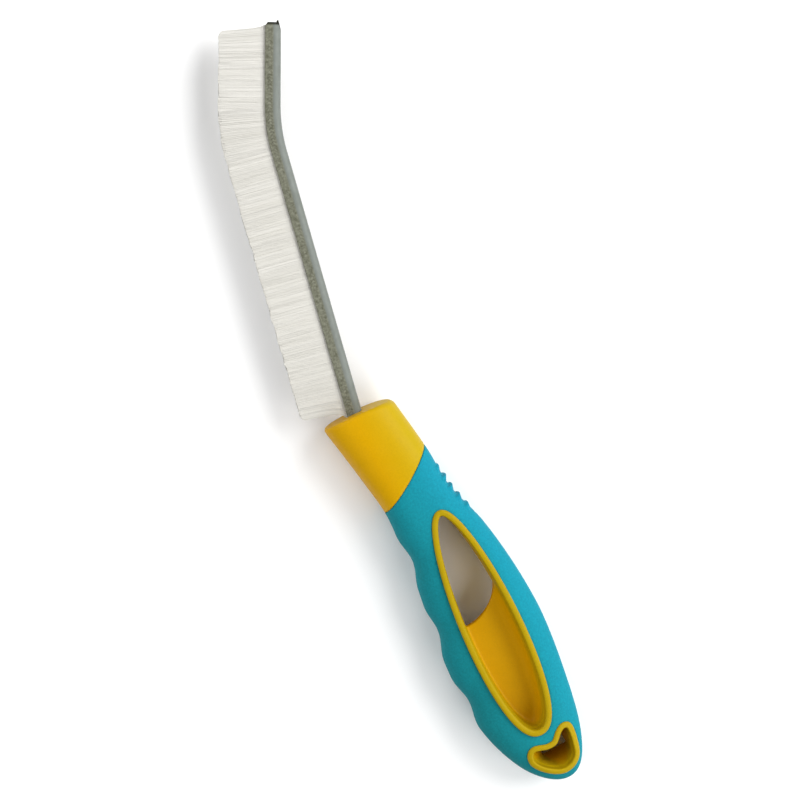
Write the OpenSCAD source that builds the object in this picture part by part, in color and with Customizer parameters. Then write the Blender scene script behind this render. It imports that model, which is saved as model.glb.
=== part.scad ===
// Bent crevice brush, lying on its side.
// X runs along the handle towards the brush tip, Y points to the bristle side and Z is up.
// The origin is the bottom centre of the whole brush. Distances along the handle, called s,
// are counted from the collar mouth back towards the butt.

/* [Handle] */
// Length of the handle from the collar mouth to the butt
handle_len = 138.5; // [136:0.5:150]
// Thickness over the collar and the window rims, on which the brush rests
handle_t = 20; // [18.5:0.5:24]
// Width of the collar at its mouth
collar_w = 24; // [21:0.5:28]
// Radius of the edge around the collar mouth
collar_edge = 1; // [0.4:0.1:2]
// Width of the neck
neck_w = 22.6; // [21:0.2:26]
// Distance from the mouth to the middle of the neck
neck_at = 34; // [30:0.5:38]
// Width of the shoulder where the grip begins
shoulder_w = 28.3; // [27:0.1:31]
// Distance from the mouth to the shoulder
shoulder_at = 50; // [46:0.5:56]
// Largest width of the grip
grip_w = 36; // [33:0.5:42]
// Distance from the mouth to the widest place of the grip
grip_at = 88; // [80:1:94]
// How far the neck bows towards the thumb side
neck_bow = 2.9; // [1.5:0.1:4]
// How far the shoulder bows towards the thumb side
shoulder_bow = 4.6; // [3.5:0.1:6]
// How far the palm bows towards the thumb side
palm_bow = 1.9; // [1:0.1:3]
// How far the butt lies towards the thumb side
butt_bow = 4; // [2.5:0.1:5.5]

/* [Grip sleeve] */
// Thickness of the soft sleeve over the core
sleeve_t = 2.2; // [1.4:0.1:3]
// How far the sleeve's crown stays below the window rims
sleeve_drop = 0.6; // [0.3:0.1:1.2]
// Distance from the mouth to the sleeve's front edge, on the handle's middle
sleeve_at = 25.6; // [22:0.2:28]
// Slant of the sleeve's front edge
sleeve_slant = 30.5; // [20:0.5:36]
// Radius of the sleeve's curved front edge
sleeve_edge_r = 95; // [70:1:140]
// Distance from the mouth to the first finger groove
groove_at = 50.3; // [48:0.1:54]
// Distance between finger grooves
groove_pitch = 25; // [22:0.1:26]
// Length of one finger groove
groove_len = 20; // [14:0.5:22]
// Depth of a finger groove
groove_depth = 1.8; // [0.6:0.1:2.2]
// Distance from the mouth to the first thumb rib
rib_at = 26.5; // [25:0.1:28]
// Distance between thumb ribs
rib_pitch = 3.85; // [3.2:0.05:4.2]
// Height of a thumb rib
rib_h = 0.9; // [0.4:0.1:1.4]
// Length of a thumb rib's base
rib_base = 2.8; // [1.8:0.1:3]

/* [Window] */
// Distance from the mouth to the window's narrow end
window_at = 40.4; // [39:0.1:42]
// Width of the window opening
window_w = 15.8; // [12:0.2:17]
// How far the window's narrow end lies towards the thumb side
window_bow = 6.8; // [6:0.1:7.5]
// Tilt of the window's long axis
window_tilt = 3.4; // [2.5:0.1:4.5]
// Width of the rims around the window and the hang hole
rim_w = 2.1; // [1.5:0.1:2.3]
// Height of the step that softens the window rim's crest
rim_step = 0.5; // [0.3:0.1:0.8]
// Thickness of the floor across the window
floor_t = 2.4; // [1.4:0.2:4]
// Distance from the mouth to the far end of the opening through the floor
throat_to = 78; // [70:0.5:90]
// Radius of that opening's far end
throat_r = 16; // [12:0.5:20]

/* [Hang hole] */
// Distance from the butt to the hang hole
hang_at = 5.2; // [4.6:0.1:6]
// Distance along the handle from the hang hole to the window
hang_to_window = 4.1; // [4:0.1:10]
// Length of the hang hole along the handle
hang_len = 11.8; // [10:0.1:12.4]
// Width of the hang hole across the handle
hang_w = 14.2; // [12:0.1:15]
// How far the middle of the hang hole lies towards the thumb side
hang_bow = 3.5; // [3:0.1:4]
// How far the hang hole's rim stands above the sleeve
hang_rim_h = 0.6; // [0.2:0.1:1]

/* [Steel strip] */
// Depth of the folded channel, from its back to its lips
strip_d = 5; // [4:0.1:6]
// Width of the folded channel
strip_w = 4.2; // [3.6:0.1:5.4]
// Thickness of the sheet steel
sheet_t = 0.7; // [0.5:0.05:0.9]
// Offset of the strip from the collar's middle, at the mouth
strip_offset = 2.1; // [0:0.1:3]
// Angle of the strip to the handle, where it leaves the collar
root_angle = 12.1; // [8:0.1:16]
// Length of the strip from the mouth to its bend
lower_len = 87.3; // [70:0.1:100]
// Angle of the bend
bend_angle = 16.5; // [8:0.5:24]
// Radius of the bend, at the strip's middle
bend_r = 55; // [40:1:80]
// Length of the strip beyond the bend
upper_len = 24.8; // [18:0.1:32]
// Length of the tang's straight end inside the collar
tang_len = 12; // [8:0.5:14]
// Radius of the tang's bend inside the collar
tang_r = 25; // [20:1:32]
// Gap between the tang and the collar around it
tang_fit = 0.1; // [0.05:0.05:0.2]
// Diameter of the core wire
wire_d = 1.5; // [1:0.1:1.6]

/* [Bristles] */
// Free length of the bristles beyond the channel's lips
bristle_len = 14.8; // [10:0.1:20]
// Thickness of the bristle row at its free edge
bristle_t = 3.2; // [2.4:0.1:3.6]
// Gap between the bristles and the steel around them
bristle_fit = 0.05; // [0.02:0.01:0.1]
// Distance from the mouth to the first bristles, along the strip
bristle_from = 3; // [1:0.1:6]
// Lean of the first bristles towards the tip
bristle_lean = 5.5; // [0:0.5:10]
// Distance from the last bristles to the strip's end
bristle_end = 2.6; // [1:0.1:4]
// Radius of the bristle row's two outer corners
bristle_corner = 2; // [1:0.1:3]

/* [Hidden] */

// Facets of the handle's free-form surface
skin_step = 3;
skin_sides = 32;
butt_steps = 22;
mouth_steps = 3;
core_step = 6;
core_sides = 20;
core_butt_steps = 12;
window_sides = 26;
hang_steps = 5;
corner_steps = 4;
// Distance from the mouth to the front of the core's spine
core_from = 6;
// Powers of the rounded sections and of the butt's outline
section_power = 2.6;
butt_power = 2.2;
butt_t_power = 3;
// Powers of the egg-shaped window's narrow and blunt ends
window_nose_power = 0.6;
window_end_power = 0.45;
// Distances between the butt and the places that shape the handle's tail
palm_back = 30.5;
tail_back = 10.5;
round_back = 24.5;
// Where the shoulder and the waist bow, beside the places of their widths
shoulder_bow_back = 5;
waist_front = 8;
waist_dip = 0.5;
tail_lift = 0.4;
// Thinning of the tail and of the butt, as multiples of the sleeve's drop
tail_thinning = 1.8;
butt_thinning = 2.4;
// Middle of the round end of the opening through the floor, across the handle
throat_y = 2.2;
// Finger grooves and thumb ribs: a rib is an arc around the thumb side
groove_count = 3;
rib_count = 5;
rib_r = 7;
rib_sweep = 100;
rib_sink = 1.5;
// How much thinner a bend is than its runs, and how far it laps into them
bend_thin = 0.02;
bend_lap = 0.2;
// How far the folded filaments reach into the free ones
fold_root = 0.6;
// Sizes that reach past what they cut
over = 1;
far = 200;

mid_t = handle_t / 2;
window_len = handle_len - hang_at - hang_len - hang_to_window - window_at;
// Places across the strip, from its middle
wire_y = (strip_w - strip_d) / 2;
lip_y = strip_d / 2;
root_y = lip_y + bristle_fit;
edge_y = lip_y + bristle_len;
// Turn of the tang, which lines up with the collar
tang_root = 2;
tang_turn = root_angle + atan(neck_bow / neck_at);

// Smooth curve through knots [s, value] with rising s
function knot_slope(K, i) =
    let (a = K[max(i - 1, 0)], b = K[min(i + 1, len(K) - 1)])
    (b[1] - a[1]) / (b[0] - a[0]);
function curve(K, s) =
    let (
        i = max([for (j = [0 : len(K) - 2]) if (j == 0 || K[j][0] <= s) j]),
        gap = K[i + 1][0] - K[i][0],
        t = (s - K[i][0]) / gap
    )
    (2 * pow(t, 3) - 3 * pow(t, 2) + 1) * K[i][1]
    + (pow(t, 3) - 2 * pow(t, 2) + t) * gap * knot_slope(K, i)
    + (3 * pow(t, 2) - 2 * pow(t, 3)) * K[i + 1][1]
    + (pow(t, 3) - pow(t, 2)) * gap * knot_slope(K, i + 1);

// Handle outline, seen from above
centre_knots = [
    [0, 0],
    [neck_at, -neck_bow],
    [shoulder_at + shoulder_bow_back, -shoulder_bow],
    [grip_at - waist_front, -(shoulder_bow + palm_bow) / 2 - waist_dip],
    [handle_len - palm_back, -palm_bow],
    [handle_len - tail_back, -(palm_bow + butt_bow) / 2 + tail_lift],
    [handle_len, -butt_bow]
];
width_knots = [
    [0, collar_w],
    [neck_at, neck_w],
    [shoulder_at, shoulder_w],
    [grip_at, grip_w],
    [2 * grip_at - shoulder_at, shoulder_w]
];
thickness_knots = [
    [0, mid_t],
    [neck_at / 2, mid_t],
    [neck_at, mid_t - sleeve_drop],
    [grip_at, mid_t - sleeve_drop],
    [handle_len - round_back, mid_t - tail_thinning * sleeve_drop],
    [handle_len, mid_t - butt_thinning * sleeve_drop]
];
function centre(s) = curve(centre_knots, min(s, handle_len));
function closing(s, start, end, p, q) =
    s <= start ? 1 : pow(max(1 - pow((s - start) / (end - start), p), 0), 1 / q);
function reach(s, grow) =
    (curve(width_knots, min(s, grip_at)) / 2 + grow)
    * closing(s, grip_at, handle_len + grow, butt_power, 2);
function half_t(s, grow) =
    (min(curve(thickness_knots, min(s, handle_len)), mid_t) + grow)
    * closing(s, handle_len - round_back, handle_len + grow, butt_t_power, butt_t_power);
function bump(x) = abs(x) >= 1 ? 0 : pow(cos(90 * x), 2);
function groove(s) =
    groove_depth
    * max([for (i = [0 : groove_count - 1]) bump(2 * (s - groove_at - i * groove_pitch) / groove_len)]);
function back_y(s) = centre(s) - reach(s, 0);

// Rounded section of the handle at s, as a ring of points
function soft(v) = sign(v) * pow(abs(v), 2 / section_power);
function section(s, grow, sides, inset = 0) =
    [for (i = [0 : sides - 1])
        let (
            a = 360 * (i + 0.5) / sides,
            side = reach(s, grow) - inset - (cos(a) > 0 ? groove(s) : 0)
        )
        [-s, centre(s) + side * soft(cos(a)), (half_t(s, grow) - inset) * soft(sin(a))]
    ];

// Closed solid over rings of equal length, ending in one point
module loft(rings, tip) {
    n = len(rings[0]);
    last = len(rings) - 1;
    points = concat([for (ring = rings) each ring], [tip]);
    skin = [
        for (k = [0 : last - 1], i = [0 : n - 1])
        let (j = (i + 1) % n, a = k * n, b = a + n)
        each [[a + i, a + j, b + i], [a + j, b + j, b + i]]
    ];
    end_cap = [for (i = [0 : n - 1]) [last * n + i, last * n + (i + 1) % n, len(points) - 1]];
    mouth_cap = [[for (i = [n - 1 : -1 : 0]) i]];
    polyhedron(points = points, faces = concat(skin, end_cap, mouth_cap), convexity = 6);
}

function butt_stations(grow, steps) =
    [for (i = [1 : steps - 1]) grip_at + (handle_len + grow - grip_at) * sin(90 * i / steps)];

// The whole handle's outer form, with its softened mouth
module handle_form(grow = 0) {
    mouth = [
        for (i = [0 : mouth_steps - 1])
        let (a = 90 * i / mouth_steps)
        section(collar_edge * (1 - cos(a)), grow, skin_sides, collar_edge * (1 - sin(a)))
    ];
    front = [for (s = [collar_edge : skin_step : grip_at]) s];
    body = [for (s = concat(front, butt_stations(grow, butt_steps))) section(s, grow, skin_sides)];
    loft(concat(mouth, body), [-handle_len - grow, centre(handle_len), 0]);
}

// The core's form under the sleeve
module core_form() {
    front = [for (s = [core_from : core_step : grip_at]) s];
    stations = concat(front, butt_stations(-sleeve_t, core_butt_steps));
    rings = [for (s = stations) section(s, -sleeve_t, core_sides)];
    loft(rings, [-handle_len + sleeve_t, centre(handle_len), 0]);
}

// Upright prism through the whole handle
module through() {
    translate([0, 0, -far / 2])
        linear_extrude(far)
            children();
}

// The collar's side of the sleeve's front edge
module collar_zone() {
    translate([-sleeve_at, centre(sleeve_at)])
        rotate(sleeve_slant)
            translate([sleeve_edge_r, 0])
                circle(sleeve_edge_r, $fn = 180);
}

// Egg-shaped window: narrow towards the collar, blunt towards the butt
window_peak = window_nose_power / (window_nose_power + window_end_power);
function egg(u) = pow(u, window_nose_power) * pow(1 - u, window_end_power);
function window_half(u) = window_w / 2 * egg(u) / egg(window_peak);
module window_shape() {
    us = [for (i = [0 : window_sides]) (1 - cos(180 * i / window_sides)) / 2];
    upper = [for (u = us) [-window_len * u, window_half(u)]];
    lower = [for (i = [window_sides - 1 : -1 : 1]) [-window_len * us[i], -window_half(us[i])]];
    translate([-window_at, -window_bow])
        rotate(-window_tilt)
            polygon(concat(upper, lower));
}
module window_rim_shape(inset = 0) {
    offset(r = rim_w - inset, $fn = 48)
        window_shape();
}

// Opening that goes right through the window's floor
module throat_shape() {
    intersection() {
        window_shape();
        union() {
            translate([-throat_to + throat_r, throat_y])
                circle(throat_r, $fn = 96);
            translate([-throat_to + throat_r, -far / 2])
                square([far, far]);
        }
    }
}

// Hang hole: a round-cornered triangle whose front side bulges in
// Corners and flanks, as shares of the hole's own length and width, from the butt and the middle
hang_knots = [
    [0, 0.02], [0.14, 0.33], [0.55, 0.45], [0.92, 0.49], [1, 0.44], [0.93, 0.32],
    [0.72, 0.12], [0.7, -0.12], [0.8, -0.42], [0.55, -0.5], [0.22, -0.3]
];
module hang_shape() {
    translate([-handle_len + hang_at, -hang_bow])
        polygon(closed_curve([for (k = hang_knots) [k[0] * hang_len, -k[1] * hang_w]], hang_steps));
}
module hang_rim_shape() {
    offset(r = rim_w, $fn = 48)
        hang_shape();
}
function spline(a, b, c, d, t) =
    b + (c - a) * t / 2
    + (2 * a - 5 * b + 4 * c - d) * pow(t, 2) / 2
    + (3 * b - a - 3 * c + d) * pow(t, 3) / 2;
function closed_curve(P, steps) =
    let (n = len(P))
    [for (i = [0 : n - 1], j = [0 : steps - 1])
        spline(P[(i + n - 1) % n], P[i], P[(i + 1) % n], P[(i + 2) % n], j / steps)];

// Window rim with a flat crest that the brush rests on
module window_rim() {
    crest = rim_w / 4;
    translate([0, 0, -mid_t + rim_step])
        linear_extrude(handle_t - 2 * rim_step)
            window_rim_shape();
    translate([0, 0, -mid_t])
        linear_extrude(handle_t)
            difference() {
                window_rim_shape(crest);
                offset(delta = crest)
                    window_shape();
            }
}

module hang_rim() {
    intersection() {
        handle_form(hang_rim_h);
        through()
            hang_rim_shape();
    }
}

// Path of the strip: origin at the mouth, +X along the strip
module at_mouth() {
    translate([0, strip_offset, 0])
        rotate(-root_angle)
            children();
}
module after_bend() {
    at_mouth()
        translate([lower_len, -bend_r, 0])
            rotate(-bend_angle)
                translate([0, bend_r, 0])
                    children();
}
module after_tang_bend() {
    at_mouth()
        translate([-tang_root, -tang_r, 0])
            rotate(tang_turn)
                translate([0, tang_r, 0])
                    children();
}

// A profile drawn as [across the strip, up], swept along a straight run or a bend.
// A bend is a little thinner than its runs and laps into both of them.
module run(from, to) {
    translate([from, 0, 0])
        rotate([90, 0, 90])
            linear_extrude(to - from)
                children();
}
module bend(r, angle) {
    lap_angle = bend_lap / r * 180 / PI;
    translate([0, -r, 0])
        rotate(90 - angle - lap_angle)
            rotate_extrude(angle = angle + 2 * lap_angle, $fn = 180)
                translate([r, 0])
                    children();
}

// The first child is the profile of the runs, the second that of the bends
module sweep_exposed(from, to_end) {
    at_mouth() {
        run(from, lower_len)
            children(0);
        translate([lower_len, 0, 0])
            bend(bend_r, bend_angle)
                children(1);
    }
    after_bend()
        run(0, upper_len - to_end)
            children(0);
}
module sweep_tang() {
    after_tang_bend() {
        run(-tang_len, 0)
            children(0);
        bend(tang_r, tang_turn)
            children(1);
    }
}

// Outline of the folded channel with its round back, grown by a fit
module channel_outline(grow = 0, open = 0) {
    r = strip_w / 2 + grow;
    translate([wire_y, 0])
        circle(r, $fn = 64);
    translate([wire_y, -r])
        square([strip_d - strip_w / 2 + grow + open, 2 * r]);
}
module channel_profile(thin = 0) {
    difference() {
        channel_outline(-thin);
        channel_outline(thin - sheet_t, over);
    }
}
module wire_profile(thin = 0) {
    translate([wire_y, 0])
        circle(wire_d / 2 - thin, $fn = 48);
}
module fold_profile(thin = 0) {
    difference() {
        intersection() {
            channel_outline(-sheet_t - bristle_fit - thin, 2 * over);
            translate([-strip_d, -strip_w])
                square([strip_d + lip_y + fold_root - thin, 2 * strip_w]);
        }
        wire_profile(-thin);
    }
}

// Free bristles seen from above: one outline for each straight run of the strip
bristle_to = upper_len - bristle_end;
corner_y = edge_y - bristle_corner;
first_corner = [bristle_from + bristle_len * tan(bristle_lean) + bristle_corner, corner_y];
last_corner = [bristle_to - bristle_corner, corner_y];
function rounded_corner(p, from, to) = [
    for (i = [0 : corner_steps])
    let (a = from + (to - from) * i / corner_steps)
    p + bristle_corner * [cos(a), sin(a)]
];
module lower_bristles() {
    roots = [[lower_len, edge_y], [lower_len, root_y], [bristle_from, root_y]];
    polygon(concat(roots, rounded_corner(first_corner, 180, 90)));
}
module upper_bristles() {
    roots = [[bristle_to, root_y], [0, root_y], [0, edge_y]];
    polygon(concat(roots, rounded_corner(last_corner, 90, 0)));
}
module free_bristles() {
    translate([0, 0, -bristle_t / 2])
        linear_extrude(bristle_t)
            children();
}
module bend_bristles() {
    bend(bend_r, bend_angle)
        translate([root_y + bend_thin, -bristle_t / 2 + bend_thin])
            square([edge_y - root_y - 2 * bend_thin, bristle_t - 2 * bend_thin]);
}

// Reach of the whole brush seen from above, from which its middle is taken
function turned(p, a) = [p[0] * cos(a) - p[1] * sin(a), p[0] * sin(a) + p[1] * cos(a)];
function on_lower(p) = [0, strip_offset] + turned(p, -root_angle);
function on_upper(p) = on_lower([lower_len, -bend_r] + turned([p[0], p[1] + bend_r], -bend_angle));
grip_stations = [for (s = [0 : 1 : handle_len]) s];
belly = [for (s = grip_stations) centre(s) + reach(s, 0) - groove(s)];
spine = [for (s = grip_stations) back_y(s)];
x_low = -handle_len;
x_high = max(on_upper(last_corner)[0] + bristle_corner, on_upper([upper_len, 0])[0]);
y_low = min(concat([on_upper([upper_len, -strip_d / 2])[1]], spine));
y_high = max(concat([on_lower(first_corner)[1] + bristle_corner], belly));

module in_place() {
    translate([-(x_low + x_high) / 2, -(y_low + y_high) / 2, mid_t])
        children();
}

module handle_core() {
    color("gold")
        in_place()
            difference() {
                union() {
                    intersection() {
                        handle_form();
                        through()
                            collar_zone();
                    }
                    core_form();
                    window_rim();
                    hang_rim();
                }
                for (side = [0, 1])
                    mirror([0, 0, side])
                        translate([0, 0, floor_t / 2])
                            linear_extrude(far)
                                window_shape();
                through()
                    throat_shape();
                through()
                    hang_shape();
                at_mouth()
                    run(-tang_root, far)
                        channel_outline(tang_fit);
                sweep_tang() {
                    channel_outline(tang_fit);
                    channel_outline(tang_fit + bend_thin);
                }
            }
}

module thumb_rib(s) {
    slope = atan((back_y(s - 1) - back_y(s + 1)) / 2);
    translate([-s, back_y(s), 0])
        rotate(slope)
            translate([0, rib_r, 0])
                rotate([0, 90, 0])
                    rotate(-90 - rib_sweep / 2)
                        rotate_extrude(angle = rib_sweep, $fn = 90)
                            polygon([
                                [rib_r - rib_sink, -rib_base / 2],
                                [rib_r, -rib_base / 2],
                                [rib_r + rib_h, 0],
                                [rib_r, rib_base / 2],
                                [rib_r - rib_sink, rib_base / 2]
                            ]);
}

module grip_sleeve() {
    color("darkturquoise")
        in_place()
            difference() {
                union() {
                    handle_form();
                    for (i = [0 : rib_count - 1])
                        thumb_rib(rib_at + i * rib_pitch);
                }
                through()
                    collar_zone();
                core_form();
                through()
                    window_rim_shape();
                through()
                    hang_rim_shape();
            }
}

module channel_strip() {
    color("slategray")
        in_place() {
            sweep_exposed(-tang_root, 0) {
                channel_profile();
                channel_profile(bend_thin);
            }
            sweep_tang() {
                channel_profile();
                channel_profile(bend_thin);
            }
        }
}

module core_wire() {
    color("dimgray")
        in_place() {
            sweep_exposed(-tang_root, 0) {
                wire_profile();
                wire_profile(bend_thin);
            }
            sweep_tang() {
                wire_profile();
                wire_profile(bend_thin);
            }
        }
}

module bristle_fill() {
    color("whitesmoke")
        in_place() {
            sweep_exposed(bristle_from, bristle_end) {
                fold_profile();
                fold_profile(bend_thin);
            }
            at_mouth() {
                free_bristles()
                    lower_bristles();
                translate([lower_len, 0, 0])
                    bend_bristles();
            }
            after_bend()
                free_bristles()
                    upper_bristles();
        }
}

handle_core();
grip_sleeve();
channel_strip();
core_wire();
bristle_fill();
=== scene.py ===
"""Looks of the bent crevice brush: moulded handle, soft sleeve, folded steel strip and nylon filaments."""

import math

import bpy
import numpy as np
from mathutils import Matrix, Vector


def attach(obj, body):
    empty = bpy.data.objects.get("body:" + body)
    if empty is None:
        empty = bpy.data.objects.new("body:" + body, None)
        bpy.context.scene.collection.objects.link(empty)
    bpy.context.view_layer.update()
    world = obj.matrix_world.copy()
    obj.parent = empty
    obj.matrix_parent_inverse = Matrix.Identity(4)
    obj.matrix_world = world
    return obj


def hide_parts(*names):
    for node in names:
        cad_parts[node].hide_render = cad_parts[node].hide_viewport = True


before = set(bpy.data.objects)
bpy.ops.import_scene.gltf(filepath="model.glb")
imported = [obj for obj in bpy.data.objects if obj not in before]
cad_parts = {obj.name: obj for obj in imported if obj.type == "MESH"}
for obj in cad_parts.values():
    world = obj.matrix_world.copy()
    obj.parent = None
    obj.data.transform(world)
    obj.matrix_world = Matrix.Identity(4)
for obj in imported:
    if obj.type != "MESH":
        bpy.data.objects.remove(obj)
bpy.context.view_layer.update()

MM = 0.001
# From the handle's own frame (mouth centre, mid-plane) to the row frame
OFFSET = np.array([5.6405, 9.02095, 10.0])

# Sizes in millimetres, as in the solids or close to them. _AT is a place along the handle, counted from the
# collar's mouth, and for the hang hole from the butt's end
HANDLE_LEN, HANDLE_T, COLLAR_EDGE = 138.5, 20.0, 1.0
COLLAR_W, NECK_W, NECK_AT, SHOULDER_W, SHOULDER_AT = 24.0, 22.6, 34.0, 28.3, 50.0
GRIP_W, GRIP_AT = 36.0, 88.0
NECK_BOW, SHOULDER_BOW, PALM_BOW, BUTT_BOW = 2.9, 4.6, 1.9, 4.0
SLEEVE_T, SLEEVE_DROP, SLEEVE_AT, SLEEVE_SLANT, SLEEVE_EDGE_R = 2.2, 0.6, 26.3, 32.0, 95.0
GROOVE_AT, GROOVE_PITCH, GROOVE_LEN, GROOVE_DEPTH, GROOVES = 50.3, 25.0, 20.0, 1.8, 3
RIB_AT, RIB_PITCH, RIB_H = 26.5, 3.85, 0.9
WINDOW_AT, WINDOW_LEN, WINDOW_W, WINDOW_BOW, WINDOW_TILT = 40.4, 77.0, 15.8, 6.8, 3.4
RIM_W, FLOOR_T, THROAT_TO, THROAT_R, THROAT_Y = 2.1, 2.4, 78.0, 16.0, 2.2
HANG_AT, HANG_LEN, HANG_W, HANG_BOW, HANG_RIM_H = 5.2, 11.8, 14.2, 3.5, 0.6
STRIP_D, STRIP_W, SHEET_T, STRIP_OFFSET = 5.0, 4.2, 0.7, 2.1
ROOT_ANGLE, LOWER_LEN, BEND_ANGLE, BEND_R, UPPER_LEN = 12.1, 87.3, 16.5, 55.0, 24.8
TANG_LEN, TANG_R, TANG_ROOT, TANG_FIT = 12.0, 25.0, 2.0, 0.1
BRISTLE_LEN = 14.8
SECTION_POWER, BUTT_POWER, BUTT_T_POWER = 2.6, 2.2, 3.0
# Where the spine under the sleeve starts, and where the butt starts to close
CORE_FROM, BUTT_AT = 6.0, HANDLE_LEN - 24.5
# How far the collar's mouth lies towards the fingers from the strip's root
MOUTH_SHIFT = 1.1
# A place on the collar, how far the middle line has dropped there, and how much narrower the collar is
COLLAR_AT, COLLAR_DROP, COLLAR_TAPER = 20.0, 2.82, 0.64
# Where the underside grows full towards the butt, over what length, and how far it then is above the floor
UNDER_AT, UNDER_LEN, UNDER_GAP = 104.0, 16.0, 0.65

MID_T = HANDLE_T / 2
LIP = STRIP_D / 2
HALF_W = STRIP_W / 2
WIRE_Y = (STRIP_W - STRIP_D) / 2
TANG_TURN = ROOT_ANGLE + math.degrees(math.atan(NECK_BOW / NECK_AT))


# Handle form

def curve(knots, s):
    """Smooth curve through knots (s, value), at an array of s."""
    k = np.array(knots, float)
    n = len(k)
    after, before = k[np.minimum(np.arange(n) + 1, n - 1)], k[np.maximum(np.arange(n) - 1, 0)]
    slope = (after[:, 1] - before[:, 1]) / (after[:, 0] - before[:, 0])
    i = np.clip(np.searchsorted(k[:, 0], s, side="right") - 1, 0, n - 2)
    gap = k[i + 1, 0] - k[i, 0]
    t = (s - k[i, 0]) / gap
    return (
        (2 * t**3 - 3 * t**2 + 1) * k[i, 1]
        + (t**3 - 2 * t**2 + t) * gap * slope[i]
        + (3 * t**2 - 2 * t**3) * k[i + 1, 1]
        + (t**3 - t**2) * gap * slope[i + 1]
    )


# Knots of the handle's middle line, full width and half thickness: place along the handle, value
CENTRE = [
    (0, MOUTH_SHIFT),
    (COLLAR_AT, MOUTH_SHIFT - COLLAR_DROP),
    (NECK_AT, -NECK_BOW),
    (SHOULDER_AT + 5, -SHOULDER_BOW),
    (GRIP_AT - 8, -(SHOULDER_BOW + PALM_BOW) / 2 - 0.5),
    (HANDLE_LEN - 30.5, -PALM_BOW),
    (HANDLE_LEN - 10.5, -(PALM_BOW + BUTT_BOW) / 2 + 0.4),
    (HANDLE_LEN, -BUTT_BOW),
]
WIDTH = [
    (0, COLLAR_W),
    (COLLAR_AT, COLLAR_W - COLLAR_TAPER),
    (NECK_AT, NECK_W),
    (SHOULDER_AT, SHOULDER_W),
    (GRIP_AT, GRIP_W),
    (2 * GRIP_AT - SHOULDER_AT, SHOULDER_W),
]
THICKNESS = [
    (0, MID_T),
    (NECK_AT / 2, MID_T),
    (NECK_AT, MID_T - SLEEVE_DROP),
    (GRIP_AT, MID_T - SLEEVE_DROP),
    (BUTT_AT, MID_T - 1.8 * SLEEVE_DROP),
    (HANDLE_LEN, MID_T - 2.4 * SLEEVE_DROP),
]
LEAST_CLOSING = 0.05
# Step over which the form's slope is measured, and the least slope it is divided by
FORM_STEP, LEAST_SLOPE = 0.05, 0.02


def centre(s):
    """Height of the handle's middle line at s."""
    return curve(CENTRE, np.clip(s, 0, HANDLE_LEN))


def closing(s, start, p, q):
    """How the butt closes: 1 up to start, nearly 0 at the handle's end."""
    u = np.clip((s - start) / (HANDLE_LEN - start), 0, 1)
    return np.maximum((1 - u**p) ** (1 / q), LEAST_CLOSING)


def reach(s):
    """Half the handle's width at s, without the finger grooves."""
    return curve(WIDTH, np.clip(s, 0, GRIP_AT)) / 2 * closing(s, GRIP_AT, BUTT_POWER, 2)


def full_under(s, z):
    """1 below the mid-plane at the butt, where the underside is flat and lies close to the floor."""
    u = np.clip((s - UNDER_AT) / UNDER_LEN, 0, 1)
    return u * u * (3 - 2 * u) * (z < 0)


def half_t(s, under):
    """Half the handle's thickness at s, larger where the underside is full."""
    t = np.minimum(curve(THICKNESS, np.clip(s, 0, HANDLE_LEN)), MID_T)
    power = BUTT_T_POWER * (1 + under)
    return (t + under * (MID_T - UNDER_GAP - t)) * closing(s, BUTT_AT, power, power)


def groove(s):
    """How deep the finger grooves cut in at s."""
    depth = 0
    for i in range(GROOVES):
        x = np.clip(2 * (s - GROOVE_AT - i * GROOVE_PITCH) / GROOVE_LEN, -1, 1)
        depth = np.maximum(depth, np.cos(math.pi / 2 * x) ** 2)
    return GROOVE_DEPTH * depth


def back_y(s):
    """Height of the handle's back, where the thumb ribs are."""
    return centre(s) - reach(s)


def spread(x, y, z):
    """1 on the handle's outer form, less inside it."""
    s = -x
    c = centre(s)
    side = np.where(y > c, reach(s) - groove(s), reach(s))
    under = full_under(s, z)
    power = SECTION_POWER * (1 + under)
    return ((np.abs(y - c) / side) ** power + (np.abs(z) / half_t(s, under)) ** power) ** (1 / power)


def form(x, y, z):
    """Distance to the handle's outer form, good near it."""
    h = FORM_STEP
    v = spread(x, y, z)
    nearby = spread(x + h, y, z), spread(x, y + h, z), spread(x, y, z + h)
    slope = np.sqrt(sum(((w - v) / h) ** 2 for w in nearby))
    return np.maximum((v - 1) / np.maximum(slope, LEAST_SLOPE), -x - HANDLE_LEN)


def smax(a, b, r):
    """Both solids' common part, its edge rounded by r."""
    return np.minimum(np.maximum(a, b), -r) + np.hypot(np.maximum(a + r, 0), np.maximum(b + r, 0))


def polygon_distance(x, y, points):
    """Distance to a closed polygon, negative inside it."""
    shape = np.broadcast(x, y).shape
    best = np.full(shape, 1e9)
    inside = np.zeros(shape, bool)
    n = len(points)
    for i in range(n):
        (x1, y1), (x2, y2) = points[i], points[(i + 1) % n]
        ex, ey = x2 - x1, y2 - y1
        t = np.clip(((x - x1) * ex + (y - y1) * ey) / (ex * ex + ey * ey), 0, 1)
        best = np.minimum(best, (x - x1 - t * ex) ** 2 + (y - y1 - t * ey) ** 2)
        if y1 != y2:
            inside ^= ((y1 > y) != (y2 > y)) & (x < ex * (y - y1) / ey + x1)
    return np.sqrt(best) * np.where(inside, -1, 1)


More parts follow.
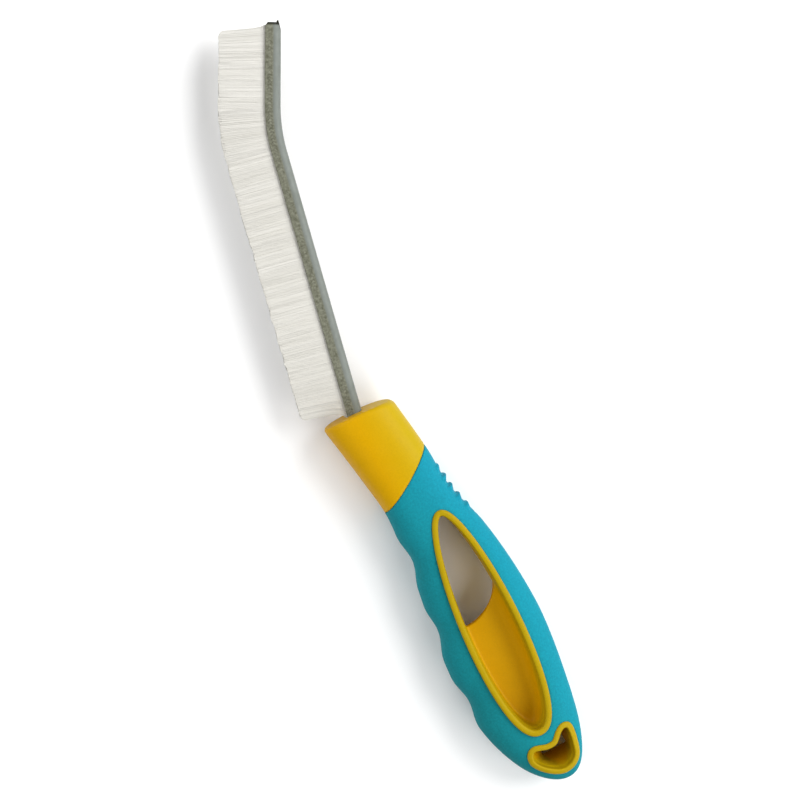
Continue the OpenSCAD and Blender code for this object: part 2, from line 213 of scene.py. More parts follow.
def egg_outline():
    """Points of the window's outline, tapered towards the neck and blunt towards the butt."""
    nose, end, sides = 0.6, 0.45, 40
    peak = nose / (nose + end)

    def egg(u):
        return u**nose * (1 - u) ** end

    us = [(1 - math.cos(math.pi * i / sides)) / 2 for i in range(sides + 1)]
    half = [WINDOW_W / 2 * egg(u) / egg(peak) for u in us]
    flat = [(-WINDOW_LEN * u, h) for u, h in zip(us, half)]
    flat += [(-WINDOW_LEN * us[i], -half[i]) for i in range(sides - 1, 0, -1)]
    c, s = math.cos(math.radians(WINDOW_TILT)), math.sin(math.radians(WINDOW_TILT))
    return [(x * c + y * s - WINDOW_AT, -x * s + y * c - WINDOW_BOW) for x, y in flat]


def hang_outline():
    """Points of the hang hole's outline: a smooth curve through knots in shares of its length and width."""
    knots = [
        (0, 0.02), (0.14, 0.33), (0.55, 0.45), (0.92, 0.49), (1, 0.44), (0.93, 0.32),
        (0.72, 0.12), (0.7, -0.12), (0.8, -0.42), (0.55, -0.5), (0.22, -0.3),
    ]
    per_knot = 8
    p = [np.array([k[0] * HANG_LEN, -k[1] * HANG_W]) for k in knots]
    n = len(p)
    points = []
    for i in range(n):
        a, b, c, d = p[i - 1], p[i], p[(i + 1) % n], p[(i + 2) % n]
        for j in range(per_knot):
            t = j / per_knot
            q = b + (c - a) * t / 2 + (2 * a - 5 * b + 4 * c - d) * t**2 / 2
            q = q + (3 * b - a - 3 * c + d) * t**3 / 2
            points.append((q[0] - HANDLE_LEN + HANG_AT, q[1] - HANG_BOW))
    return points


WINDOW_POINTS = egg_outline()
HANG_POINTS = hang_outline()


def window(x, y):
    return polygon_distance(x, y, WINDOW_POINTS)


def hang(x, y):
    return polygon_distance(x, y, HANG_POINTS)


def collar_side(x, y):
    """Distance to the collar's side of the curved seam with the sleeve, negative on it."""
    a = math.radians(SLEEVE_SLANT)
    cx = -SLEEVE_AT + SLEEVE_EDGE_R * math.cos(a)
    cy = float(centre(np.array(SLEEVE_AT))) + SLEEVE_EDGE_R * math.sin(a)
    return np.hypot(x - cx, y - cy) - SLEEVE_EDGE_R


def throat(x, y):
    """Distance to the part of the window that has no floor, which ends in an arc."""
    cx = -THROAT_TO + THROAT_R
    return np.minimum(np.hypot(x - cx, y - THROAT_Y) - THROAT_R, cx - x)


# Path of the strip, by its length u from the mouth

def turned(p, degrees):
    c, s = math.cos(math.radians(degrees)), math.sin(math.radians(degrees))
    return np.array([p[0] * c - p[1] * s, p[0] * s + p[1] * c])


BEND_LEN = BEND_R * math.radians(BEND_ANGLE)
TANG_BEND_LEN = TANG_R * math.radians(TANG_TURN)
STRIP_LEN = LOWER_LEN + BEND_LEN + UPPER_LEN
TANG_END = -TANG_ROOT - TANG_BEND_LEN - TANG_LEN


def path(u):
    """Point and heading in degrees on the strip's middle line, at length u past the mouth."""
    if u < -TANG_ROOT:
        back = -TANG_ROOT - u
        turn = min(back / TANG_R, math.radians(TANG_TURN))
        rest = max(back - TANG_BEND_LEN, 0)
        p = np.array([-TANG_ROOT - TANG_R * math.sin(turn), -TANG_R * (1 - math.cos(turn))])
        p = p - rest * np.array([math.cos(turn), math.sin(turn)])
        heading = math.degrees(turn)
    elif u <= LOWER_LEN:
        p, heading = np.array([u, 0.0]), 0.0
    else:
        turn = min((u - LOWER_LEN) / BEND_R, math.radians(BEND_ANGLE))
        rest = max(u - LOWER_LEN - BEND_LEN, 0)
        p = np.array([LOWER_LEN + BEND_R * math.sin(turn), -BEND_R * (1 - math.cos(turn))])
        p = p + rest * np.array([math.cos(turn), -math.sin(turn)])
        heading = -math.degrees(turn)
    return turned(p, -ROOT_ANGLE) + [0, STRIP_OFFSET], heading - ROOT_ANGLE


def pocket(x, y, z):
    """Distance to the pocket in the collar around the strip's tang."""
    a = math.radians(ROOT_ANGLE)
    px, py = x, y - STRIP_OFFSET
    u = px * math.cos(a) - py * math.sin(a)
    v = px * math.sin(a) + py * math.cos(a)
    turn = np.clip(np.arctan2(-TANG_ROOT - u, v + TANG_R), 0, math.radians(TANG_TURN))
    radial = np.where(turn <= 0, v, np.hypot(u + TANG_ROOT, v + TANG_R) - TANG_R)
    t = math.radians(TANG_TURN)
    ex, ey = -TANG_ROOT - TANG_R * math.sin(t), -TANG_R * (1 - math.cos(t))
    along = -((u - ex) * math.cos(t) + (v - ey) * math.sin(t))
    across = -(u - ex) * math.sin(t) + (v - ey) * math.cos(t)
    v = np.where(along > 0, across, radial)
    half_w, half_d = HALF_W + TANG_FIT, LIP + TANG_FIT
    arc = np.hypot(v - WIRE_Y, z) - half_w
    slot = np.maximum(np.maximum(np.abs(z) - half_w, v - half_d), WIRE_Y - v)
    return np.maximum(np.minimum(arc, slot), along - TANG_LEN)


# The two mouldings

# How much the well's walls lean, per millimetre of depth
WALL_DRAFT = 0.05
# Roundings of the window's rim, of the hang hole's rim and of the hang hole's mouth
RIM_EDGE, HANG_RIM_EDGE, HANG_MOUTH_EDGE = 0.7, 0.6, 0.7
# Rounding along the seam of collar and sleeve, the gap in it and under the sleeve, and the throat's rounding
SEAM_EDGE, SEAM_GAP, THROAT_EDGE = 0.25, 0.05, 0.35
# How far the collar's end stands out, how much it leans and is domed, and what its back corner is rounder by
MOUTH_OUT, MOUTH_LEAN, MOUTH_DOME, BACK_CORNER = 0.35, 0.07, 0.6, 1.0
# Where the hang hole, which narrows on its way down, comes out below: x from and to, y from and to
HANG_EXIT = ((-130.78, -125.38), (-8.48, 0.34))
# Depth over which it narrows, how much its walls lean, its spare width at the top, and its corners' rounding
HANG_TAPER, HANG_DRAFT, HANG_SPARE, HANG_CORNER = 17.0, 0.03, 0.8, 0.5
# How far the web around the narrow part lies inside the outer form, and how far it runs into the rim
HANG_WEB_IN, HANG_WEB_OVERLAP = 0.2, 0.1
# How far above the floor the hang hole's rim ends
HANG_FOOT_GAP = 0.15
# Fillet on the well's floor: on the finger side, how much more on the palm side, and over what width it grows
WELL_FILLET, WELL_FILLET_MORE, WELL_FILLET_SPAN = 0.8, 3.0, 12
# How far the sleeve runs in under the rims
TUCK = 0.25
# Height of each thumb rib, as a share of the solids' rib height, and how round the ribs' tops are
RIB_RISE, RIB_ROUND = (0.7, 1.35, 1.25, 1.15, 0.85), 0.004
# How far the ribs reach round to the flat sides, from the mid-plane, and the length over which they end
RIB_HALF, RIB_END = 5.6, 0.6
# Length of each rib's steep flank, towards the bristles, and of its gentle one
RIB_STEEP, RIB_GENTLE = 0.65, 1.95
# Tone of the yellow on the collar's finger side, its rise to the back, which is painted light on the lit
# side, from what height and over what width
COLLAR_TONE, COLLAR_LIT_RISE, COLLAR_LIT_Y, COLLAR_LIT_SPAN = 0.4, 0.4, 3, 13
# Where the rims' tone, a lemon tone that is painted light, takes over along the handle, and how far in the
# recesses have their own deeper amber, a painted shade of the light bounced in them
RIMS_AT, RECESS_SHADE_FADE = 38, 1.2
# Shares of the sleeve's tone that change across and along the handle, and the width of the first change; the
# change across is painted light on the lit thumb side
SLEEVE_LIGHT_ACROSS, SLEEVE_TONE_ALONG, SLEEVE_LIGHT_SPAN = 0.6, 0.4, 24


def hang_void(x, y, z):
    """Distance to the hang hole."""
    down = np.clip((MID_T - z) / HANG_TAPER, 0, 1)
    void = hang(x, y) + HANG_DRAFT * (MID_T - np.abs(z))
    for side, place in enumerate((x, y)):
        top = [p[side] for p in HANG_POINTS]
        low = HANG_EXIT[side][0] * down + (min(top) - HANG_SPARE) * (1 - down)
        high = HANG_EXIT[side][1] * down + (max(top) + HANG_SPARE) * (1 - down)
        void = smax(void, np.maximum(low - place, place - high), HANG_CORNER)
    return void


def yellow_light_and_shade(x, y):
    """Tone of the yellow, painted light and shade: 0 in the recesses, where the deepest amber is painted
    shade of the light bounced in them, more on the collar, rising as painted light to its lit back, and 1 on
    the rims, a lemon tone that is painted light.
    """
    inside = np.clip(-np.minimum(window(x, y), hang(x, y)) / RECESS_SHADE_FADE, 0, 1)
    collar = COLLAR_TONE + COLLAR_LIT_RISE * np.clip((COLLAR_LIT_Y - y) / COLLAR_LIT_SPAN, 0, 1)
    return np.where(x < -RIMS_AT, 1.0, collar) * (1 - inside)


def sleeve_light_and_tone(x, y):
    """0 on the finger side at the butt, to 1 on the thumb side at the neck, where the sleeve looks bluer; the
    change across the handle is painted light, lighter and bluer on the lit thumb side.
    """
    across = np.clip(0.5 + (centre(-x) - y) / SLEEVE_LIGHT_SPAN, 0, 1)
    return SLEEVE_LIGHT_ACROSS * across + SLEEVE_TONE_ALONG * np.clip(1 + x / HANDLE_LEN, 0, 1)


def well_fillet(x, y):
    """Fillet on the well's floor, larger on the side of the palm."""
    middle = -WINDOW_BOW + (x + WINDOW_AT) * math.tan(math.radians(-WINDOW_TILT))
    palm = np.clip(0.5 - (y - middle) / WELL_FILLET_SPAN, 0, 1)
    return WELL_FILLET + WELL_FILLET_MORE * palm**2 * (3 - 2 * palm)


def core_field(x, y, z):
    """Distance to the yellow moulding."""
    f = form(x, y, z)
    depth = np.abs(z)
    win, hole = window(x, y), hang(x, y)
    corner = COLLAR_EDGE + BACK_CORNER * np.clip(-2 * y / COLLAR_W, 0, 1)
    end = x - MOUTH_OUT - MOUTH_LEAN * y - MOUTH_DOME * (1 - (2 * y / COLLAR_W) ** 2)
    collar = smax(smax(f, collar_side(x, y), SEAM_EDGE), end, corner)
    spine = np.maximum(f + SLEEVE_T + SEAM_GAP, x + CORE_FROM)
    body = np.minimum(collar, spine)
    rim = smax(np.abs(win - RIM_W / 2) - RIM_W / 2, depth - MID_T, RIM_EDGE)
    top = np.where(z > 0, f - HANG_RIM_H, depth - MID_T + HANG_FOOT_GAP)
    hang_rim = smax(np.abs(hole - RIM_W / 2) - RIM_W / 2, top, HANG_RIM_EDGE)
    web = np.maximum(hole - HANG_WEB_OVERLAP, f + HANG_WEB_IN)
    body = np.minimum.reduce([body, rim, hang_rim, web])
    wall = win + WALL_DRAFT * (MID_T - depth)
    well = smax(wall, FLOOR_T / 2 - depth, well_fillet(x, y))
    body = np.maximum(body, -well)
    body = smax(body, -np.maximum(wall, throat(x, y)), THROAT_EDGE)
    body = smax(body, -hang_void(x, y, z), HANG_MOUTH_EDGE)
    return np.maximum(body, -pocket(x, y, z))


def sleeve_field(x, y, z):
    """Distance to the soft sleeve."""
    f = form(x, y, z)
    outer = f
    back = np.where(y < centre(-x), np.clip((RIB_HALF - np.abs(z)) / RIB_END, 0, 1), 0)
    for i, rise in enumerate(RIB_RISE):
        s = RIB_AT + i * RIB_PITCH
        slope = math.atan(float(back_y(np.array(s - 1)) - back_y(np.array(s + 1))) / 2)
        t = (x + s) * math.cos(slope) + (y - float(back_y(np.array(s)))) * math.sin(slope)
        crest = np.maximum(1 - np.sqrt((t / np.where(t > 0, RIB_STEEP, RIB_GENTLE)) ** 2 + RIB_ROUND), 0)
        outer = np.minimum(outer, f - RIB_H * rise * crest * back)
    outer = smax(outer, SEAM_GAP - collar_side(x, y), SEAM_EDGE)
    outer = np.maximum(outer, RIM_W - TUCK - np.minimum(window(x, y), hang(x, y)))
    return np.maximum(outer, -(f + SLEEVE_T))


# Meshes from distance fields

def cell_mesh(value, grids):
    """Points and quads around the zero of a field on a grid: one point in each cell that it crosses."""
    shape = tuple(n - 1 for n in value.shape)
    ids, points, quads = [], [], []
    for axis in range(3):
        low = [slice(None)] * 3
        high = [slice(None)] * 3
        low[axis], high[axis] = slice(None, -1), slice(1, None)
        a, b = value[tuple(low)], value[tuple(high)]
        i = np.argwhere((a < 0) != (b < 0))
        va, vb = a[tuple(i.T)], b[tuple(i.T)]
        t = va / (va - vb)
        p = np.stack([grids[k][i[:, k]] for k in range(3)], 1)
        p[:, axis] += t * (grids[axis][i[:, axis] + 1] - grids[axis][i[:, axis]])
        o1, o2 = (axis + 1) % 3, (axis + 2) % 3
        around = []
        for d1, d2 in ((0, 0), (-1, 0), (-1, -1), (0, -1)):
            c = i.copy()
            c[:, o1] += d1
            c[:, o2] += d2
            around.append(np.ravel_multi_index(tuple(c.T), shape))
            ids.append(around[-1])
            points.append(p)
        quad = np.stack(around, 1)
        quads.append(np.where((va < 0)[:, None], quad, quad[:, ::-1]))
    ids, points, quads = np.concatenate(ids), np.concatenate(points), np.concatenate(quads)
    used, index = np.unique(ids, return_inverse=True)
    count = np.bincount(index)
    verts = np.stack([np.bincount(index, points[:, k]) / count for k in range(3)], 1)
    return verts, np.searchsorted(used, quads)


def surface(field, xs, ys, zs):
    """Closed quad mesh where the field is zero, its points set on the surface and spread evenly along it."""
    turns, h, least_slope, longest_move, ease = 3, 0.02, 0.2, 0.2, 0.6
    verts, quads = cell_mesh(field(xs[:, None, None], ys[None, :, None], zs[None, None, :]), (xs, ys, zs))
    ends = np.concatenate([quads[:, k] for k in range(4)])
    starts = np.concatenate([quads[:, (k + 1) % 4] for k in range(4)])
    ties = np.bincount(ends, minlength=len(verts))
    for turn in range(turns + 1):
        for _ in range(2):
            x, y, z = verts.T
            f = field(x, y, z)
            g = np.stack([field(x + h, y, z) - f, field(x, y + h, z) - f, field(x, y, z + h) - f], 1) / h
            move = -f[:, None] * g / np.maximum((g**2).sum(1), least_slope)[:, None]
            length = np.linalg.norm(move, axis=1, keepdims=True)
            verts += move * np.minimum(1, longest_move / np.maximum(length, 1e-9))
        if turn < turns:
            mean = np.stack([np.bincount(ends, verts[starts, k], len(verts)) / ties for k in range(3)], 1)
            normal = g / np.maximum(np.linalg.norm(g, axis=1, keepdims=True), 1e-6)
            slide = mean - verts
            slide -= (slide * normal).sum(1, keepdims=True) * normal
            verts += ease * slide
    return verts, quads


def add_mesh(name, verts, faces, material, node):
    """A piece from points in the handle's own frame, in millimetres, that stands for a CAD node."""
    mesh = bpy.data.meshes.new(name)
    mesh.from_pydata((np.asarray(verts) + OFFSET) * MM, [], faces)
    mesh.materials.append(material)
    mesh.polygons.foreach_set("use_smooth", [True] * len(mesh.polygons))
    mesh.validate()
    mesh.update()
    piece = bpy.data.objects.new(name, mesh)
    bpy.context.scene.collection.objects.link(piece)
    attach(piece, "root")
    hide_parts(node)
    return piece


def add_mark(piece, name, values):
    """A number kept at each point of the mesh, which its material reads."""
    mark = piece.data.attributes.new(name, "FLOAT", "POINT")
    mark.data.foreach_set("value", np.asarray(values, np.float32))


# Materials

def lin(*rgb):
    """Linear colour of an sRGB one given from 0 to 255."""
    parts = [c / 255 / 12.92 if c <= 10 else ((c / 255 + 0.055) / 1.055) ** 2.4 for c in rgb]
    return (*parts, 1.0)


def grey(v):
    return (v, v, v, 1.0)


class Look:
    """A Principled material whose nodes are added one by one."""

    def __init__(self, name, roughness=0.5, metallic=0.0, **sockets):
        self.material = bpy.data.materials.new(name)
        self.material.use_nodes = True
        self.tree = self.material.node_tree
        self.shader = self.tree.nodes["Principled BSDF"]
        self.set("Roughness", roughness)
        self.set("Metallic", metallic)
        for key, value in sockets.items():
            self.set(key.replace("_", " "), value)
        self.coords = self.tree.nodes.new("ShaderNodeTexCoord").outputs["Object"]

    def set(self, socket, value):
        self.shader.inputs[socket].default_value = value

    def link(self, a, b):
        self.tree.links.new(a, b)

    def node(self, kind, **inputs):
        n = self.tree.nodes.new(kind)
        for key, value in inputs.items():
            n.inputs[key].default_value = value
        return n

    def mark(self, name):
        """A number that the mesh keeps at each point."""
        n = self.node("ShaderNodeAttribute")
        n.attribute_name = name
        return n.outputs["Fac"]

    def noise(self, scale, detail=3.0, rough=0.55):
        """Noise with so many features to the metre."""
        n = self.node("ShaderNodeTexNoise", Scale=scale, Detail=detail, Roughness=rough)
        self.link(self.coords, n.inputs["Vector"])
        return n.outputs["Fac"]

    def ramp(self, value, *stops):
        r = self.tree.nodes.new("ShaderNodeValToRGB")
        marks = r.color_ramp.elements
        while len(marks) < len(stops):
            marks.new(0.5)
        for mark, (place, colour) in zip(marks, stops):
            mark.position = place
            mark.color = colour
        self.link(value, r.inputs["Fac"])
        return r.outputs["Color"]

    def mix(self, kind, factor, a, b):
        """Two colours mixed; factor, a and b are sockets or values."""
        m = self.tree.nodes.new("ShaderNodeMix")
        m.data_type = "RGBA"
        m.blend_type = kind
        # Of the node's many sockets, inputs 6 and 7 and output 2 are the ones for colours
        for value, place in ((factor, "Factor"), (a, 6), (b, 7)):
            if hasattr(value, "links"):
                self.link(value, m.inputs[place])
            else:
                m.inputs[place].default_value = value
        return m.outputs[2]

    def bump(self, height, strength, distance):
        b = self.node("ShaderNodeBump", Strength=strength, Distance=distance)
        self.link(height, b.inputs["Height"])
        return b.outputs["Normal"]

    def finish(self, colour, normal=None, roughness=None):
        for value, socket in ((colour, "Base Color"), (normal, "Normal"), (roughness, "Roughness")):
            if value is not None:
                self.link(value, self.shader.inputs[socket])
        return self.material


def yellow_plastic():
    look = Look("yellow_plastic", 0.45, Specular_IOR_Level=0.08)
    # The tone paints light and shade into the yellow: deeper amber in the recesses as shade, lemon on the
    # rims and the collar's lit back as light
    colour = look.ramp(look.mark("tone"), (0.0, lin(204, 153, 0)), (0.4, lin(202, 153, 1)),
                       (0.8, lin(183, 155, 9)), (1.0, lin(169, 143, 8)))
    mottle = look.ramp(look.noise(60.0, 3.0), (0.3, grey(0.95)), (0.7, grey(1.0)))
    colour = look.mix("MULTIPLY", 1.0, colour, mottle)
    specks = look.ramp(look.noise(1900.0, 2.0, 0.6), (0.3, grey(0.93)), (0.6, grey(1.0)))
    colour = look.mix("MULTIPLY", 1.0, colour, specks)
    rough = look.ramp(look.noise(240.0, 4.0), (0.3, grey(0.38)), (0.7, grey(0.5)))
    return look.finish(colour, look.bump(look.noise(2600.0, 2.0), 0.12, 0.00005), rough)


def teal_rubber():
    look = Look("teal_rubber", 0.75, Specular_IOR_Level=0.12)
    grain = look.noise(1500.0, 3.0, 0.7)
    # The tone paints light into the sleeve: its lit thumb side lighter and bluer
    base = look.ramp(look.mark("tone"), (0.0, lin(15, 123, 128)), (0.5, lin(15, 138, 152)),
                     (1.0, lin(14, 144, 169)))
    mottle = look.ramp(look.noise(35.0, 2.0), (0.3, grey(0.95)), (0.7, grey(1.0)))
    base = look.mix("MULTIPLY", 1.0, base, mottle)
    specks = look.ramp(grain, (0.35, grey(0.72)), (0.65, grey(1.0)))
    colour = look.mix("MULTIPLY", 0.7, base, specks)
    return look.finish(colour, look.bump(grain, 0.4, 0.00014))


def strip_steel():
    look = Look("galvanised_steel", 0.58, 0.25, Specular_IOR_Level=0.25)
    across, darkening_and_shade = look.mark("across"), look.mark("darkening_and_shade")
    blotch = look.noise(900.0, 4.0, 0.7)
    side = look.ramp(blotch, (0.35, lin(92, 93, 77)), (0.65, lin(130, 131, 115)))
    back = look.ramp(look.noise(300.0, 3.0), (0.3, lin(112, 117, 111)), (0.7, lin(121, 126, 121)))
    place = look.ramp(across, (0.42, grey(0.0)), (0.54, grey(1.0)))
    colour = look.mix("MIX", place, back, side)
    # Painted shade on the cut end, its spur and the clipped back corner, and darkening in the dents and on
    # the lips' edges
    colour = look.mix("MIX", darkening_and_shade, colour, lin(32, 32, 22))
    rough = look.ramp(look.noise(900.0, 3.0), (0.3, grey(0.5)), (0.7, grey(0.66)))
    return look.finish(colour, look.bump(look.noise(1800.0, 3.0), 0.2, 0.00006), rough)


def wire_steel():
    look = Look("drawn_wire", 0.35, 0.9)
    colour = look.ramp(look.noise(700.0, 3.0), (0.3, lin(110, 110, 108)), (0.7, lin(150, 150, 148)))
    return look.finish(colour)


def nylon():
    look = Look("nylon_filaments", 0.5, Specular_IOR_Level=0.25)
    tones = (0.0, lin(196, 194, 186)), (0.5, lin(206, 204, 197)), (1.0, lin(216, 214, 209))
    return look.finish(look.ramp(look.mark("shade"), *tones))


# Strip of folded sheet

# The strip stands out half a millimetre further than in the solids
STRIP_END = STRIP_LEN + 0.5
# Steps between its rings of points, in the collar and past the mouth
TANG_STEP, STRIP_STEP = 1.0, 0.17
# Where the lips' rounding starts, from the lip, and how much it takes off the corners
LIP_ROUND, LIP_CORNER = 0.12, 0.14
# Pressed arcs: pitch, place across the strip, radius, line width, shift along the strip, and where they end
ARC_PITCH, ARC_AT, ARC_R, ARC_LINE, ARC_OFF, ARC_CUT = 1.05, 1.1, 0.6, 0.15, 0.25, -0.3
# Pressed dots: pitch, place across the strip, size and depth as a share of the arcs'
DOT_PITCH, DOT_AT, DOT_R, DOT_SHARE = 0.7, 2.1, 0.16, 0.7
DENT_DEPTH = 0.1
# Stretch along the strip over which its random waves are drawn
WAVES_FROM, WAVES_TO = -30, 140
# The lips' waviness: spread, share that shows, pitch, and where across the strip it starts and how it grows
RIPPLE, RIPPLE_SHARE, RIPPLE_PITCH, RIPPLE_FROM, RIPPLE_SPAN = 0.035, 0.8, 2.5, 1.9, 0.6
# Notches on the lips' edges that are darker: their pitch, and how their depths from 0 to 1 turn into
# darkening
NOTCH_PITCH, NOTCH_GAIN, NOTCH_LESS = 0.55, 2.4, 0.9
# Darkening in the dents, painted shade on the cut end (amount, length, fade), and darkening on the lips'
# edges (amount, from, span)
DENT_DARKENING, END_SHADE, EDGE_DARKENING = 0.42, (0.88, 0.6, 0.4), (0.4, 2.2, 0.2)
# Width of the painted shade along the clipped back corner, and the least cut that has it
CUT_SHADE_W, LEAST_CUT = 0.3, 0.05
# How far from the tip the dents end, and the angle in degrees over which an edge is shown sharp
DENT_END, SHARP_ANGLE = 1.0, 50
# What is cut off the corners of the strip's tip: how far across, and over what length
TIP_BACK, TIP_FRONT = (0.55, 2.2), (0.8, 1.1)
# Corners of the spur on the tip, four at its base and two at its point: back from the end, across and up
BURR = [
    (0.4, -1.9, 0.6), (0.4, -0.9, 0.6), (0.4, -0.9, 2.1), (0.4, -1.9, 2.1),
    (-0.8, -1.65, 1.3), (-0.6, -1.15, 1.5),
]
# The spur's colour is that of this place across the strip, from 0 to 1
BURR_ACROSS = 0.3
BURR_FACES = [(0, 3, 2, 1), (0, 1, 5, 4), (1, 2, 5), (2, 3, 4, 5), (3, 0, 4)]


def channel_ring():
    """Outline of the folded channel: [across, up] round the outside and back along the inside."""
    r, inner = HALF_W, HALF_W - SHEET_T
    wall = np.linspace(LIP - LIP_ROUND, WIRE_Y, 15)
    arc = np.radians(np.linspace(90, 270, 17)[1:-1])
    outer = [(v, r) for v in wall] + [(WIRE_Y + r * math.cos(a), r * math.sin(a)) for a in arc]
    outer += [(v, -r) for v in wall[::-1]]
    wall = np.linspace(WIRE_Y, LIP - LIP_ROUND, 5)
    arc = np.radians(np.linspace(270, 90, 13)[1:-1])
    inside = [(v, -inner) for v in wall[::-1]]
    inside += [(WIRE_Y + inner * math.cos(a), inner * math.sin(a)) for a in arc]
    inside += [(v, inner) for v in wall]
    lower_lip = [(LIP, -r + LIP_CORNER), (LIP, -inner - LIP_CORNER)]
    upper_lip = [(LIP, inner + LIP_CORNER), (LIP, r - LIP_CORNER)]
    return np.array(outer + lower_lip + inside + upper_lip)


def crimps(u, v):
    """Dents of the crimping tool on the strip's flat sides, from 0 to 1: a row of arcs and a row of dots."""
    along = ((u / ARC_PITCH) % 1.0 - 0.5) * ARC_PITCH
    ring = np.hypot(along + ARC_OFF, v - ARC_AT)
    arc = np.exp(-(((ring - ARC_R) / ARC_LINE) ** 2)) * (along > ARC_CUT)
    dot = np.hypot(((u / DOT_PITCH) % 1.0 - 0.5) * DOT_PITCH, v - DOT_AT)
    dots = np.exp(-((dot / DOT_R) ** 2))
    # The arcs are pressed unevenly along the strip, in long waves
    worn = 0.55 + 0.45 * np.sin(u * 0.09 + 2.0) * np.cos(u * 0.031)
    return arc * worn + DOT_SHARE * dots


def tip_limits(u):
    """Lowest and highest place across the strip at length u."""
    left = STRIP_END - u
    back, front = (cut * max(0.0, 1 - left / length) for cut, length in (TIP_BACK, TIP_FRONT))
    return -LIP + back, LIP - front


def add_burr(verts, faces):
    """A small spur of torn sheet on the cut end, as a closed wedge."""
    base = len(verts)
    for back, v, w in BURR:
        p, heading = path(STRIP_END - back)
        verts.append((*(p + v * turned((0, 1), heading)), w))
    faces += [tuple(base + i for i in f) for f in BURR_FACES]


def strip_darkening_and_shade(u, v, placed, low, dent, notch):
    """How dark each point of the ring at length u is, from 0 to 1: painted shade on the cut end and along the
    clipped back corner, and darkening in the dents and on the lips' edges.
    """
    amount, length, fade = END_SHADE
    end = np.clip(1 - (STRIP_END - u - length) / fade, 0, 1) * amount
    cut = (placed < low + CUT_SHADE_W) & (low > -LIP + LEAST_CUT)
    amount, start, span = EDGE_DARKENING
    edge = np.clip((v - start) / span, 0, 1) * np.clip(NOTCH_GAIN * notch - NOTCH_LESS, 0, 1) * amount
    return np.maximum.reduce([DENT_DARKENING * dent, np.full(len(v), end), cut.astype(float), edge])


def build_strip():
    ring = channel_ring()
    us = [np.arange(TANG_END, 0, TANG_STEP), np.arange(0, STRIP_END - 0.1, STRIP_STEP), [STRIP_END]]
    us = np.concatenate(us)
    n = len(ring)
    rng = np.random.default_rng(5)
    ripple_at = np.arange(WAVES_FROM, WAVES_TO, RIPPLE_PITCH)
    notch_at = np.arange(WAVES_FROM, WAVES_TO, NOTCH_PITCH)
    ripple = np.interp(us, ripple_at, rng.normal(0, RIPPLE, len(ripple_at)))
    notches = np.interp(us, notch_at, rng.uniform(0, 1, len(notch_at)))
    verts, across, darkening_and_shade = [], [], []
    for k, u in enumerate(us):
        v, w = ring[:, 0], ring[:, 1]
        on_wall = (np.abs(np.abs(w) - HALF_W) < 1e-6) & (u > 0) & (u < STRIP_END - DENT_END)
        dent = np.where(on_wall, crimps(u, v), 0)
        w = w - np.sign(w) * DENT_DEPTH * dent
        lip = np.clip((v - RIPPLE_FROM) / RIPPLE_SPAN, 0, 1) * (u > 0)
        p, heading = path(u)
        low, high = tip_limits(u)
        placed = low + (v + LIP) * (high - low) / STRIP_D + ripple[k] * lip * RIPPLE_SHARE
        verts.extend(np.column_stack([p + placed[:, None] * turned((0, 1), heading), w]).tolist())
        across.append((v + LIP) / STRIP_D)
        darkening_and_shade.append(strip_darkening_and_shade(u, v, placed, low, dent, notches[k]))
    faces = []
    for k in range(len(us) - 1):
        a = k * n
        faces += [(a + i, a + (i + 1) % n, a + n + (i + 1) % n, a + n + i) for i in range(n)]
    last = (len(us) - 1) * n
    faces += [tuple(range(n))[::-1], tuple(range(last, last + n))]
    add_burr(verts, faces)
    burr = np.ones(len(BURR))
    piece = add_mesh("channel_strip_steel", verts, faces, strip_steel(), "channel_strip")
    add_mark(piece, "across", np.concatenate(across + [BURR_ACROSS * burr]))
    # The spur is painted wholly dark, as shade, like the cut end
    add_mark(piece, "darkening_and_shade", np.concatenate(darkening_and_shade + [burr]))
    piece.data.set_sharp_from_angle(angle=math.radians(SHARP_ANGLE))


# Filaments, in rows from one flat side of the fill to the other

FIRST_ROOT, LAST_ROOT = 2.45, STRIP_LEN - 1.25
# Rows of filaments, their spacing in a row, and a filament's radius and sides
ROWS, SPACING, RADIUS, SIDES = 13, 0.2, 0.135, 3
# Shown in full are the rows that lie further out than this share, and this length at both ends of each row
OUTER_ROWS, FULL_ENDS = 0.8, 0.9
FILL_HALF = 1.24
# How much wider the fill is at its free edge than at the lips
FLARE = 0.16
# How far the outer filaments' shading normals lean to the fill's flat sides
NORMAL_LEAN = 3.0
# Heights across the strip where a filament has rings of points, and those of one that shows only its end
LEVELS = LIP + np.array([-2.2, 0.2, 1.4, 4.0, 9.0, BRISTLE_LEN])
END_LEVELS = LEVELS[-2:] + [2.5, 0]
# How steeply the filaments lean in at the row's first and last root, and over what length that fades
FIRST_LEAN, LAST_LEAN = (0.085, 14), (0.1, 10)
# How far the row's ends splay out above the lips, over what length that fades, and over what height
FIRST_SPLAY, LAST_SPLAY, SPLAY_UP = (2.2, 3.5), (0.9, 2.5), 1.5
# What the trimming takes off everywhere, and more at the row's first and last root, over what length
TRIM, FIRST_TRIM, LAST_TRIM = 0.28, (1.1, 1.8), (0.9, 2.2)
# The band inside: steps along the row, how far it stays back from the ends, the tips and the flat sides
MASS_STEP, MASS_BACK, MASS_UNDER, MASS_IN = 0.6, 0.3, 0.7, 0.1
# Spread of each filament's root, sway and bow, and of its drift, trim and shade
ROOT_SPREAD, SWAY_SPREAD, BOW_SPREAD = 0.05, 0.05, 0.04
DRIFT_SPREAD, TRIM_SPREAD, SHADE_SPREAD = 0.02, 0.08, 0.05
# Pitch of the clumps, and how much the filaments of one sway, are trimmed and are shaded together
CLUMP_PITCH, CLUMP_SWAY, CLUMP_TRIM, CLUMP_SHADE = 1.6, 0.05, 0.12, 0.07
# Shade at the row's first root, and how much lighter it is at the tip, a painted light that falls off towards
# the collar
SHADE, TIP_LIGHT_RISE = 0.35, 0.3


